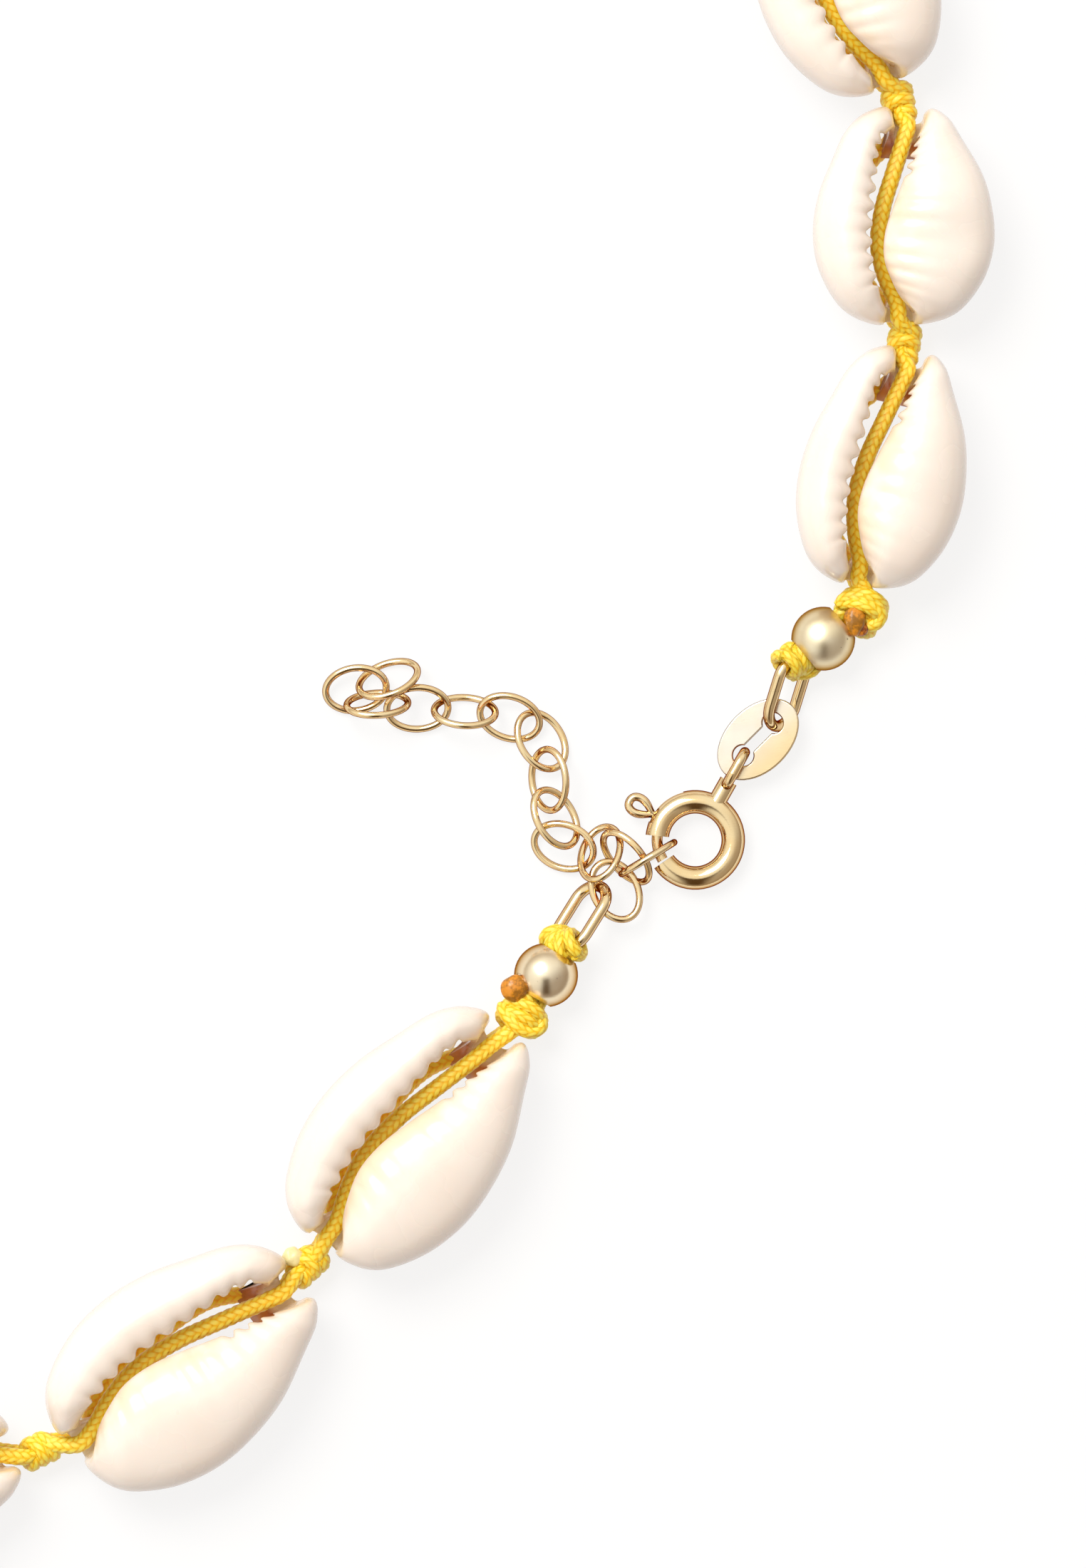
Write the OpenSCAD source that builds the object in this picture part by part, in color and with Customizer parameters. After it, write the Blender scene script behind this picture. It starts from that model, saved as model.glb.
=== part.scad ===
// A cowrie shell necklace that lies flat in a closed loop.
// Sliced shells are threaded on two strands of yellow cord with a knot between
// neighbours. A spring ring closes the loop on a link of the extension chain.
// +X is to the right, +Y away from the wearer's clasp end, +Z up from the surface.

/* [Shells] */
// Length of a typical shell
shell_l = 16.5; // [14:0.1:17]
// Width of a typical shell
shell_w = 11.2; // [9:0.1:13]
// Height of a sliced shell from its cut rim to its crest
shell_h = 5.6; // [4.8:0.1:6.5]
// Depth of the notches between the teeth of the thin lip
tooth_depth = 0.45; // [0.2:0.05:0.7]

/* [Cord] */
// Diameter of one strand
cord_d = 1.07; // [0.8:0.01:1.1]
// Diameter of a knot between two shells
knot_d = 1.95; // [1.6:0.05:2.05]
// Length of a knot along the cord
knot_l = 1.5; // [1.2:0.05:1.6]
// Diameter of the two end knots
end_knot_d = 3.1; // [2.4:0.05:3.3]
// Length of the two end knots along the cord
end_knot_l = 1.55; // [1.2:0.05:1.7]
// Thickness of the cord where it is pulled tight round a jump ring
wrap_d = 0.66; // [0.5:0.01:0.68]

/* [Beads] */
// Diameter of a bead
bead_d = 3.85; // [3.4:0.05:4.2]
// Diameter of its bore
bead_bore = 2.4; // [2.1:0.05:2.6]

/* [Oblong rings] */
// Outer length of an oblong ring
oblong_l = 5.0; // [4.8:0.05:5.1]
// Outer width of an oblong ring
oblong_w = 3.2; // [3.0:0.05:3.3]
// Its wire
oblong_wire = 0.7; // [0.5:0.05:0.75]

/* [Tag] */
// Length of the oval tag
tag_l = 5.8; // [5.2:0.05:6.2]
// Width of the oval tag
tag_w = 3.85; // [3.5:0.05:4.2]
// Thickness of the tag
tag_t = 0.24; // [0.15:0.01:0.3]
// Width of the round ends of its slot
slot_lobe = 1.24; // [1.15:0.01:1.3]
// Width of the slot between its round ends
slot_band = 0.64; // [0.4:0.02:0.8]

/* [Spring ring] */
// Outer diameter of the spring ring
clasp_d = 6.0; // [5.6:0.05:6.2]
// Diameter of its tube
tube_d = 1.42; // [1.3:0.01:1.5]
// Diameter of the sliding gate wire
gate_d = 0.66; // [0.5:0.01:0.7]
// Clearance round the gate wire in its tube
gate_gap = 0.12; // [0.1:0.01:0.15]
// Wire of the eye that holds the tag
eye_wire = 0.64; // [0.5:0.01:0.7]

/* [Extension chain] */
// Outer length of a link
link_l = 4.1; // [3.95:0.01:4.2]
// Outer width of a link
link_w = 3.07; // [3.0:0.01:3.1]
// Wire of a link
link_wire = 0.37; // [0.3:0.01:0.4]

/* [Hidden] */
// Least gap left between neighbouring pieces
gap = 0.1;

// Shells that the loop carries past its drawn front part
hidden_shells = 15;

// The front shells in the order of the loop, from bead A and then to bead B.
// Columns: x, y, heading, length share, width share, side drift of the back strand
FRONT_A = [
    [67.7, 1.9, 77, 0.90, 0.89, 0.30],
    [68.9, 17.0, 87.5, 0.81, 0.97, 0.27],
    [65.2, 31.7, 113, 0.93, 0.95, 0.22],
];
FRONT_B = [
    [7.3, -58.8, 15, 1.03, 1.00, 0.20],
    [25.6, -51.7, 36.5, 1.06, 1.08, 0.20],
    [39.3, -38.1, 49.5, 1.06, 1.02, 0.20],
];
// Sizes that the hidden shells repeat. Columns: length share, width share, drift
HIDDEN_SIZES = [
    [1.00, 1.00, 0.22],
    [1.05, 0.98, 0.26],
    [0.94, 0.96, 0.20],
    [1.03, 1.04, 0.24],
    [0.97, 0.93, 0.28],
];
shell_count = len(FRONT_A) + hidden_shells + len(FRONT_B);

// The hidden stretch: an arc, a straight that runs to -X, and an arc of one radius
last_a = FRONT_A[len(FRONT_A) - 1];
first_b = FRONT_B[0];
start_heading = 121;
turn_1 = 180 - start_heading;
turn_2 = 180 + first_b[2];
arc_r = (last_a[1] - first_b[1]) / (cos(first_b[2]) - cos(start_heading));
straight = arc_r * (sin(first_b[2]) - sin(start_heading)) + last_a[0] - first_b[0];
arc_1_l = arc_r * turn_1 * PI / 180;
arc_2_l = arc_r * turn_2 * PI / 180;
hidden_l = arc_1_l + straight + arc_2_l;
arc_1_mid = [last_a[0] - arc_r * sin(start_heading), last_a[1] + arc_r * cos(start_heading)];
arc_2_mid = arc_1_mid - [straight, 0];

// Place on the hidden stretch at a length from its start: x, y, heading
function hidden_place(s) =
    s < arc_1_l
        ? arc_place(arc_1_mid, start_heading + s / arc_r * 180 / PI)
        : s < arc_1_l + straight
            ? [arc_1_mid[0] - (s - arc_1_l), arc_1_mid[1] + arc_r, 180]
            : arc_place(arc_2_mid, 180 + (s - arc_1_l - straight) / arc_r * 180 / PI);
function arc_place(mid, heading) =
    [mid[0] + arc_r * sin(heading), mid[1] - arc_r * cos(heading), heading];

// All shells in order. Columns: x, y, heading, length, width, drift
SHELLS = concat(
    [for (s = FRONT_A) sized(s, s[3], s[4], s[5])],
    [for (i = [1:hidden_shells])
        let (size = HIDDEN_SIZES[i % len(HIDDEN_SIZES)])
        sized(hidden_place(i * hidden_l / (hidden_shells + 1)), size[0], size[1], size[2])],
    [for (s = FRONT_B) sized(s, s[3], s[4], s[5])]);
function sized(place, l, w, drift) =
    [place[0], place[1], place[2], l * shell_l, w * shell_w, drift];

// The end notches clear a strand at their inner edge and a knot at their rim
narrowest = min([for (s = SHELLS) s[4]]);
edge_y = (cord_d / 2 + gap) / narrowest;
rim_y = (knot_d / 2 + 2 * gap) / narrowest;
notch_crest = 0.12;

// Stations round one shell, from the rear notch along the toothed left lip to the
// front notch and back along the right lip. Lengths are shares of half the length,
// of the width and of the height.
// Columns: edge x, edge y, rim x, rim y, crest, inner foot, outer foot
STATIONS = [
    [-0.77, edge_y, -0.87, rim_y, notch_crest, 0.05, 0.75],
    [-0.82, edge_y + 0.035, -0.985, rim_y + 0.015, 0.64, 0.08, 0.70],
    [-0.70, 0.112, -0.93, 0.245, 0.86, 0.35, 0.80],
    [-0.56, 0.135, -0.76, 0.365, 0.95, 0.55, 0.86],
    [-0.36, 0.165, -0.46, 0.462, 1.00, 0.64, 0.90],
    [-0.12, 0.178, -0.13, 0.500, 1.00, 0.66, 0.90],
    [0.12, 0.172, 0.20, 0.478, 1.00, 0.66, 0.90],
    [0.36, 0.165, 0.50, 0.415, 0.98, 0.64, 0.90],
    [0.58, 0.158, 0.755, 0.325, 0.93, 0.55, 0.86],
    [0.74, 0.130, 0.93, 0.225, 0.82, 0.35, 0.80],
    [0.83, edge_y + 0.035, 0.99, rim_y + 0.025, 0.64, 0.08, 0.70],
    [0.76, edge_y, 0.86, rim_y, notch_crest, 0.05, 0.75],
    [0.76, -edge_y, 0.86, -rim_y, notch_crest, 0.05, 0.75],
    [0.83, -edge_y - 0.015, 1.01, -rim_y - 0.01, 0.64, 0.08, 0.70],
    [0.70, -0.040, 0.94, -0.195, 0.80, 0.35, 0.80],
    [0.54, -0.010, 0.74, -0.305, 0.90, 0.55, 0.86],
    [0.34, 0.020, 0.43, -0.425, 0.97, 0.64, 0.90],
    [0.12, 0.065, 0.10, -0.488, 1.00, 0.66, 0.90],
    [-0.13, 0.105, -0.20, -0.500, 1.00, 0.66, 0.90],
    [-0.36, 0.105, -0.50, -0.452, 1.00, 0.64, 0.90],
    [-0.56, 0.055, -0.76, -0.345, 0.95, 0.55, 0.86],
    [-0.70, 0.000, -0.90, -0.215, 0.82, 0.35, 0.80],
    [-0.81, -edge_y - 0.015, -0.965, -rim_y - 0.01, 0.62, 0.08, 0.70],
    [-0.77, -edge_y, -0.87, -rim_y, notch_crest, 0.05, 0.75],
];
// Which station a column of the mesh stands at: the toothed lip has the most columns
COLUMN_STOPS = [
    [0, 0], [2, 2], [3, 2.65], [13, 9.2], [14, 10], [18, 14], [28, 22], [30, 24],
];
columns = 30;
left_teeth = [2.65, 9.2];
right_teeth = [13.6, 16];

// The wall's section. Columns: share of the way from edge to rim, share of the
// crest height, share of the outer foot, share of the inner foot
SECTION = [
    [0, 0, 1, 0],
    [1, 0.5, 0, 0],
    [0.88, 0.84, 0, 0],
    [0.5, 1.0, 0, 0],
    [0.15, 0.95, 0, 0],
    [0, 0.76, 0, 0],
    [0, 0.55, 0, 0.45],
    [0, 0, 0, 1],
];
edge_row = 5;

function wrap(i, n) = (i % n + n) % n;
function spline(a, b, c, d, t) =
    0.5 * (2 * b + (c - a) * t + (2 * a - 5 * b + 4 * c - d) * t * t
        + (3 * b - a - 3 * c + d) * t * t * t);
function station(u) =
    let (n = len(STATIONS), i = floor(u))
    spline(STATIONS[wrap(i - 1, n)], STATIONS[wrap(i, n)], STATIONS[wrap(i + 1, n)],
        STATIONS[wrap(i + 2, n)], u - i);
function within(u, span) = u > span[0] && u < span[1];
function toothed(u) = within(u, left_teeth) || within(u, right_teeth);

// A point of a shell at a station and a row, with the edge pushed out by a length
function shell_point(l, w, u, row, push = 0) =
    let (s = station(u), part = SECTION[row],
        run = norm([(s[2] - s[0]) * l / 2, (s[3] - s[1]) * w]),
        k = part[0] + part[2] * s[6] + part[3] * s[5] + push / run,
        x = s[0] + k * (s[2] - s[0]),
        y = s[1] + k * (s[3] - s[1]))
    [x * l / 2, y * w, part[1] * s[4] * shell_h];

// One shell: a ring of wall round the slit, open at the cut back
module cowrie(l, w) {
    rows = len(SECTION);
    points = concat(
        [for (r = [0:rows - 1], c = [0:columns - 1])
            shell_point(l, w, lookup(c, COLUMN_STOPS), r)],
        [for (c = [0:columns - 1])
            shell_point(l, w, lookup(c + 0.5, COLUMN_STOPS), edge_row, tooth_depth)]);
    faces = [for (r = [0:rows - 1], c = [0:columns - 1])
        let (next_row = wrap(r + 1, rows), next_col = wrap(c + 1, columns),
            a = r * columns + c, b = r * columns + next_col,
            d = next_row * columns + c, e = next_row * columns + next_col,
            m = rows * columns + c,
            notched = toothed(lookup(c + 0.5, COLUMN_STOPS)))
        each notched && r + 1 == edge_row
            ? [[a, m, d], [a, b, m], [b, e, m]]
            : notched && r == edge_row
                ? [[a, m, d], [m, e, d], [m, b, e]]
                : [[a, e, d], [a, b, e]]];
    polyhedron(points, faces);
}

// The back strand runs under the shells, which lie on it
shell_rest = 0.18;
strand_rest = 0.065;
bead_rest = 0.005;
lift = cord_d + shell_rest;
under_z = cord_d / 2 + strand_rest;
over_z = lift + notch_crest * shell_h + gap + cord_d / 2;
knot_z = (under_z + over_z) / 2;
bead_z = bead_d / 2 + bead_rest;

// A point given in a shell's own frame: shares of half the length and of the width
function on_shell(s, along, side, z) =
    let (x = along * s[3] / 2, y = side * s[4])
    [s[0] + x * cos(s[2]) - y * sin(s[2]), s[1] + x * sin(s[2]) + y * cos(s[2]), z];

// Strand routes through a shell. Columns: share along, share to the side, share of
// the shell's height above the notch
FRONT_ROUTE = [
    [-0.88, 0, 0.01], [-0.74, 0.015, 0.06], [-0.50, 0.090, 0.16], [-0.22, 0.135, 0.20],
    [0.10, 0.120, 0.20], [0.42, 0.070, 0.16], [0.72, 0.020, 0.07], [0.87, 0, 0.01],
];
// Columns: share along, share of the shell's own drift, share of the shell's height
// above the surface
BACK_ROUTE = [
    [-0.88, 0.05, 0], [-0.76, 0.25, 0], [-0.42, 0.90, 0.10],
    [0, 1, 0.18], [0.42, 0.90, 0.10], [0.76, 0.25, 0], [0.87, 0.05, 0],
];

// The beads at the cord's two ends. Columns: x, y, heading of the bore away from the
// rings, direction to the end knot, heading of the knot along the necklace
bead_a_at = [64.12, -7.98, 40, 37, 62];
bead_b_at = [47.48, -28.17, 240, 240, 57];
knot_seat = bead_d / 2 + gap + end_knot_l / 2;
end_a = beside(bead_a_at);
end_b = beside(bead_b_at);
function beside(at) =
    [at[0] + knot_seat * cos(at[3]), at[1] + knot_seat * sin(at[3]), bead_z, at[4]];

// Knots between the shells. Columns: x, y, z, heading
KNOTS = [for (i = [0:shell_count - 2])
    let (a = on_shell(SHELLS[i], 0.97, 0, knot_z),
        b = on_shell(SHELLS[i + 1], -0.97, 0, knot_z))
    [(a[0] + b[0]) / 2, (a[1] + b[1]) / 2, knot_z,
        middle_heading(SHELLS[i][2], SHELLS[i + 1][2])]];
function middle_heading(a, b) = atan2(sin(a) + sin(b), cos(a) + cos(b));
knot_port = knot_l / 2 + gap;
end_port = end_knot_l / 2 + gap;

// Where a strand starts or ends at a knot: reach along, then to the left and up
function port(knot, reach, left, up) =
    [knot[0] + reach * cos(knot[3]) - left * sin(knot[3]),
     knot[1] + reach * sin(knot[3]) + left * cos(knot[3]), knot[2] + up];
strand_up = cord_d / 2 + gap / 2;
function knot_after(i) =
    i < shell_count - 1 ? KNOTS[i] : end_b;
function knot_before(i) =
    i > 0 ? KNOTS[i - 1] : end_a;
function reach_after(i) = i < shell_count - 1 ? knot_port : end_port;
function reach_before(i) = i > 0 ? knot_port : end_port;

function front_points(i) = concat(
    [port(knot_before(i), reach_before(i), 0, strand_up)],
    [for (p = FRONT_ROUTE) on_shell(SHELLS[i], p[0], p[1], over_z + p[2] * shell_h)],
    [port(knot_after(i), -reach_after(i), 0, strand_up)]);
function back_points(i) = concat(
    [port(knot_before(i), reach_before(i), 0.15, -strand_up)],
    [for (p = BACK_ROUTE)
        on_shell(SHELLS[i], p[0], p[1] * SHELLS[i][5], under_z + p[2] * shell_h)],
    [port(knot_after(i), -reach_after(i), 0.15, -strand_up)]);

// A strand swept along its points, with flat ends square to the headings there
strand_sides = 6;
function unit(v) = v / norm(v);
function ring_at(point, t, d) =
    let (side = unit(cross(t, [0, 0, 1])), up = cross(side, t))
    [for (k = [0:strand_sides - 1])
        let (a = 360 * k / strand_sides)
        point + d / 2 * (cos(a) * side + sin(a) * up)];
module strand(points, d, start, end) {
    n = strand_sides;
    last = len(points) - 1;
    rings = [for (i = [0:last])
        let (t = i == 0 ? [cos(start), sin(start), 0]
            : i == last ? [cos(end), sin(end), 0]
            : unit(points[i + 1] - points[i - 1]))
        each ring_at(points[i], t, d)];
    walls = [for (i = [0:last - 1], k = [0:n - 1])
        let (a = i * n + k, b = i * n + (k + 1) % n)
        each [[a, b, b + n], [a, b + n, a + n]]];
    caps = [for (k = [1:n - 2])
        each [[0, k + 1, k], [last * n, last * n + k, last * n + k + 1]]];
    polyhedron(rings, concat(walls, caps));
}

// A wound knot: a barrel of two turns round the cord's line
module wound_knot(d, l) {
    turn = l / 2;
    rotate([0, 90, 0])
        rotate_extrude($fn = 48)
            union() {
                for (side = [-1, 1])
                    translate([d / 2 - turn / 2, side * turn / 2])
                        circle(d = turn, $fn = 32);
                translate([0, -turn / 2])
                    square([d / 2 - turn / 2, turn]);
                translate([0, -l / 2])
                    square([d / 2 - turn / 2, l]);
            }
}

// An oval ring of wire with straight sides, flat in its own plane, long along X
module wire_oval(l, w, wire) {
    major = (w - wire) / 2;
    run = l - w;
    for (side = [-1, 1]) {
        translate([side * run / 2, 0, 0])
            rotate([0, 0, -90 * side])
                rotate_extrude(angle = 180, $fn = 64)
                    translate([major, 0])
                        circle(d = wire, $fn = 24);
        translate([-run / 2, side * major, 0])
            rotate([0, 90, 0])
                cylinder(d = wire, h = run, $fn = 24);
    }
}
// Poses are x, y, z, yaw, pitch, roll
module posed(p) {
    translate([p[0], p[1], p[2]])
        rotate([0, 0, p[3]])
            rotate([0, -p[4], 0])
                rotate([p[5], 0, 0])
                    children();
}

// The extension chain from the ring on bead B to the free end
LINKS = [
    [51.65, -23.1, 1.36, -62, 2, -5],
    [53.6, -21.15, 1.56, 31, 1, 90],
    [52.3, -21.1, 1.26, -50, -4, 50],
    [50.75, -20.85, 1.45, 81, -31, -33],
    [48.55, -20.45, 0.62, -19, 5, 12],
    [48.05, -18.75, 1.0, -61, 0, -35],
    [47.65, -16.45, 1.06, -85, 0, 40],
    [47.2, -14.1, 0.67, -58, 0, -20],
    [45.3, -12.7, 0.68, -18, -1, 20],
    [42.6, -12.35, 1.24, -3, 0, -50],
    [39.75, -12.15, 0.78, 2, -2, 20],
    [37.35, -11.9, 1.4, 4, -5, -59],
    [36.05, -11.0, 0.72, 9, 4, 16],
    [38.0, -10.4, 1.15, 20, 0, -45],
];
ring_a_pose = [61.95, -11.2, 1.52, 73, 10, 54];
ring_b_pose = [49.6, -24.65, 1.5, 58, -11, -50];
tag_pose = [60.22, -14.02, 1.43, 45, 6, -4];

// A bead with its bore along the cord
module bead(at) {
    translate([at[0], at[1], bead_z])
        rotate([0, 0, at[2]])
            rotate([0, 90, 0])
                rotate_extrude($fn = 64)
                    intersection() {
                        circle(d = bead_d, $fn = 64);
                        translate([bead_bore / 2, -bead_d / 2])
                            square([bead_d, bead_d]);
                    }
}

// The cord's end: a doubled core in the bead and a turn round the ring's wire
wrap_major = oblong_wire / 2 + gap + wrap_d / 2;
core_d = bead_bore - 4 * gap;
core_l = bead_d - 4 * gap;
module cord_loop(at, ring_pose, ring_end) {
    color("goldenrod")
        union() {
            posed(ring_pose)
                translate([ring_end * (oblong_l - oblong_wire) / 2, 0, 0])
                    rotate([90, 0, 0])
                        rotate_extrude($fn = 48)
                            translate([wrap_major, 0])
                                circle(d = wrap_d, $fn = 24);
            translate([at[0], at[1], bead_z])
                rotate([0, 0, at[2]])
                    rotate([0, 90, 0])
                        translate([0, 0, wrap_major - bead_d / 2])
                            cylinder(d = core_d, h = core_l - wrap_major, $fn = 48);
        }
}

// The oval tag with its dumb-bell slot
lobe_at = 1.32;
module tag() {
    color("gold")
        posed(tag_pose)
            translate([0, 0, -tag_t / 2])
                difference() {
                    linear_extrude(tag_t)
                        polygon([for (a = [0:7.5:359])
                            [tag_l / 2 * cos(a), tag_w / 2 * sin(a)]]);
                    for (side = [-1, 1])
                        translate([side * lobe_at, side * 0.06, -tag_t])
                            cylinder(d = slot_lobe, h = 3 * tag_t, $fn = 48);
                    translate([-lobe_at, -slot_band / 2, -tag_t])
                        cube([2 * lobe_at, slot_band, 3 * tag_t]);
                }
}

// The spring ring. Angles run round its centre from +X
clasp_at = [56.45, -20.06, 0.95];
tube_r = (clasp_d - tube_d) / 2;
mouth_end = 174;
past_mouth = 1;
seat_angle = 214.7;
hollow_start = 82;
slot_start = 104;
slot_end = 158;
trigger_angle = 149;
gate_start = 123;
gate_tip = seat_angle - 1.2 * gap / tube_r * 180 / PI;
bore_d = gate_d + 2 * gate_gap;
stem_t = 0.36;
eye_angle = 60.5;
eye_reach = 4.9;
eye_z = 0.2;
eye_l = 2.94;
eye_h = 2.24;
neck_d = 1.1;
module arc_tube(start, sweep, d) {
    rotate([0, 0, start])
        rotate_extrude(angle = sweep, $fn = 96)
            translate([tube_r, 0])
                circle(d = d, $fn = 32);
}
module clasp_body() {
    color("gold")
        translate(clasp_at)
            union() {
                difference() {
                    arc_tube(seat_angle - 360, mouth_end - seat_angle + 360, tube_d);
                    arc_tube(hollow_start, mouth_end - hollow_start + past_mouth, bore_d);
                    rotate([0, 0, slot_start])
                        rotate_extrude(angle = slot_end - slot_start, $fn = 96)
                            translate([tube_r, -stem_t / 2 - gap])
                                square([tube_d, stem_t + 2 * gap]);
                }
                rotate([0, 0, eye_angle])
                    translate([tube_r, 0, eye_z / 2])
                        rotate([0, 90, 0])
                            cylinder(d = neck_d, h = eye_reach - eye_l / 2 - tube_r + eye_wire,
                                $fn = 48);
                rotate([0, 0, eye_angle])
                    translate([eye_reach, 0, eye_z])
                        rotate([90, 0, 0])
                            wire_oval(eye_l, eye_h, eye_wire);
            }
}

// The gate wire slides round in the tube, pushed by its trigger
trigger_r = 0.72;
trigger_t = 0.62;
trigger_hole = 0.26;
trigger_reach = 4.12;
trigger_apex = trigger_reach - clasp_d / 2 - gap;
module teardrop(r) {
    tangent = acos(r / trigger_apex);
    union() {
        circle(r = r, $fn = 48);
        polygon([
            [-trigger_apex, 0],
            [-r * cos(tangent), r * sin(tangent)],
            [0, 0],
            [-r * cos(tangent), -r * sin(tangent)],
        ]);
    }
}
module clasp_gate() {
    color("gold")
        translate(clasp_at)
            union() {
                arc_tube(gate_start, gate_tip - gate_start, gate_d);
                rotate([0, 0, trigger_angle]) {
                    translate([tube_r, -stem_t / 2, -stem_t / 2])
                        cube([trigger_reach - trigger_hole - tube_r - gap, stem_t, stem_t]);
                    translate([trigger_reach, 0, -trigger_t / 2])
                        linear_extrude(trigger_t)
                            difference() {
                                teardrop(trigger_r);
                                circle(r = trigger_hole, $fn = 32);
                            }
                }
            }
}

function numbered(name, i) = str(name, i < 10 ? "_0" : "_", i);

module shell(s) {
    color("seashell")
        translate([s[0], s[1], lift])
            rotate([0, 0, s[2]])
                cowrie(s[3], s[4]);
}
module front_cord() {
    color("gold")
        for (i = [0:shell_count - 1])
            strand(front_points(i), cord_d, knot_before(i)[3], knot_after(i)[3]);
}
module back_cord() {
    color("goldenrod")
        for (i = [0:shell_count - 1])
            strand(back_points(i), cord_d, knot_before(i)[3], knot_after(i)[3]);
}
module knots() {
    color("gold")
        for (k = KNOTS)
            translate([k[0], k[1], k[2]])
                rotate([0, 0, k[3]])
                    wound_knot(knot_d, knot_l);
}
module end_knot(at) {
    color("gold")
        translate([at[0], at[1], at[2]])
            rotate([0, 0, at[3]])
                wound_knot(end_knot_d, end_knot_l);
}
module link(pose) {
    color("khaki")
        posed(pose)
            wire_oval(link_l, link_w, link_wire);
}
module oblong_ring(pose) {
    color("khaki")
        posed(pose)
            wire_oval(oblong_l, oblong_w, oblong_wire);
}

for (i = [1:shell_count])
    shell(SHELLS[i - 1]);
for (i = [1:len(LINKS)])
    link(LINKS[i - 1]);
front_cord();
back_cord();
knots();
end_knot(end_a);  // end_knot_a
end_knot(end_b);  // end_knot_b
cord_loop(bead_a_at, ring_a_pose, 1);  // cord_loop_a
cord_loop(bead_b_at, ring_b_pose, -1);  // cord_loop_b
color("wheat") bead(bead_a_at);  // bead_a
color("wheat") bead(bead_b_at);  // bead_b
oblong_ring(ring_a_pose);  // oblong_ring_a
oblong_ring(ring_b_pose);  // oblong_ring_b
tag();
clasp_body();
clasp_gate();
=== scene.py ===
# Looks of a cowrie shell necklace that lies on a white floor.
# Tables and formulas that repeat the model's own are in millimetres; meshes are made in metres.
import math

import bpy
import numpy as np
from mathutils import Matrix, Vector


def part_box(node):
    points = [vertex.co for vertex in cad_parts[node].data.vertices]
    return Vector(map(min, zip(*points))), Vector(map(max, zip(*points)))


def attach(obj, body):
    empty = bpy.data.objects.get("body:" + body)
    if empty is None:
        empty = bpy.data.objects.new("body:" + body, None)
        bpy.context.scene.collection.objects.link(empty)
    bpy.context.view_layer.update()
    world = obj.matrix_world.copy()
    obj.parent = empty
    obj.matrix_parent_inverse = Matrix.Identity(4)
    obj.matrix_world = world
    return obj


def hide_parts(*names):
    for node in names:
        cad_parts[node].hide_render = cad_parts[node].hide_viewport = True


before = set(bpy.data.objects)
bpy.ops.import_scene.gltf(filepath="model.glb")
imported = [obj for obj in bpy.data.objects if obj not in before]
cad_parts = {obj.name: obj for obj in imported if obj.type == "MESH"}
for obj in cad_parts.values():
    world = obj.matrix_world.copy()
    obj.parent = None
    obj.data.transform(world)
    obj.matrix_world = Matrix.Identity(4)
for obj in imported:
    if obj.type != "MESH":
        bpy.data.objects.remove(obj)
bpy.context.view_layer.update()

MM = 0.001
BODY = "necklace"
UP = np.array([0.0, 0.0, 1.0])

# Sizes of the model, and how far wound turns of cord press into each other
SHELL_L, SHELL_W, SHELL_H = 16.5, 11.2, 5.6
TOOTH_DEPTH = 0.45
CORD_D = 1.07
KNOT_D, KNOT_L = 1.95, 1.5
END_KNOT_D, END_KNOT_L = 3.1, 1.55
WRAP_D = 0.66
PRESS = 0.05
BEAD_D = 3.85
OBLONG_L, OBLONG_W, OBLONG_WIRE = 5.0, 3.2, 0.7
GAP = 0.1
HIDDEN_SHELLS = 15

# The front shells. Columns: x, y, heading, length share, width share, drift of the back strand
FRONT_A = [
    [67.7, 1.9, 77, 0.90, 0.89, 0.30],
    [68.9, 17.0, 87.5, 0.81, 0.97, 0.27],
    [65.2, 31.7, 113, 0.93, 0.95, 0.22],
]
FRONT_B = [
    [7.3, -58.8, 15, 1.03, 1.00, 0.20],
    [25.6, -51.7, 36.5, 1.06, 1.08, 0.20],
    [39.3, -38.1, 49.5, 1.06, 1.02, 0.20],
]
# Sizes that the hidden shells repeat. Columns: length share, width share, drift
HIDDEN_SIZES = [
    [1.00, 1.00, 0.22],
    [1.05, 0.98, 0.26],
    [0.94, 0.96, 0.20],
    [1.03, 1.04, 0.24],
    [0.97, 0.93, 0.28],
]
START_HEADING = 121


def cos(degrees):
    return math.cos(math.radians(degrees))


def sin(degrees):
    return math.sin(math.radians(degrees))


def hidden_places():
    """Where the hidden shells lie: an arc, a straight and an arc of one radius."""
    ax, ay = FRONT_A[-1][:2]
    bx, by, b_heading = FRONT_B[0][:3]
    radius = (ay - by) / (cos(b_heading) - cos(START_HEADING))
    straight = radius * (sin(b_heading) - sin(START_HEADING)) + ax - bx
    arc_1 = radius * math.radians(180 - START_HEADING)
    arc_2 = radius * math.radians(180 + b_heading)
    mid_x = ax - radius * sin(START_HEADING)
    mid_y = ay + radius * cos(START_HEADING)
    places = []
    for i in range(1, HIDDEN_SHELLS + 1):
        s = i * (arc_1 + straight + arc_2) / (HIDDEN_SHELLS + 1)
        if s < arc_1:
            heading = START_HEADING + math.degrees(s / radius)
            x, y = mid_x + radius * sin(heading), mid_y - radius * cos(heading)
        elif s < arc_1 + straight:
            heading = 180
            x, y = mid_x - (s - arc_1), mid_y + radius
        else:
            heading = 180 + math.degrees((s - arc_1 - straight) / radius)
            x, y = mid_x - straight + radius * sin(heading), mid_y - radius * cos(heading)
        places.append([x, y, heading])
    return places


def all_shells():
    """Every shell in order. Columns: x, y, heading, length, width, drift."""
    rows = list(FRONT_A)
    for i, place in enumerate(hidden_places(), 1):
        rows.append(place + HIDDEN_SIZES[i % len(HIDDEN_SIZES)])
    rows += FRONT_B
    return [[x, y, h, l * SHELL_L, w * SHELL_W, drift] for x, y, h, l, w, drift in rows]


SHELLS = all_shells()
EDGE_Y = (CORD_D / 2 + GAP) / min(shell[4] for shell in SHELLS)
NOTCH_CREST = 0.12

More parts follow.
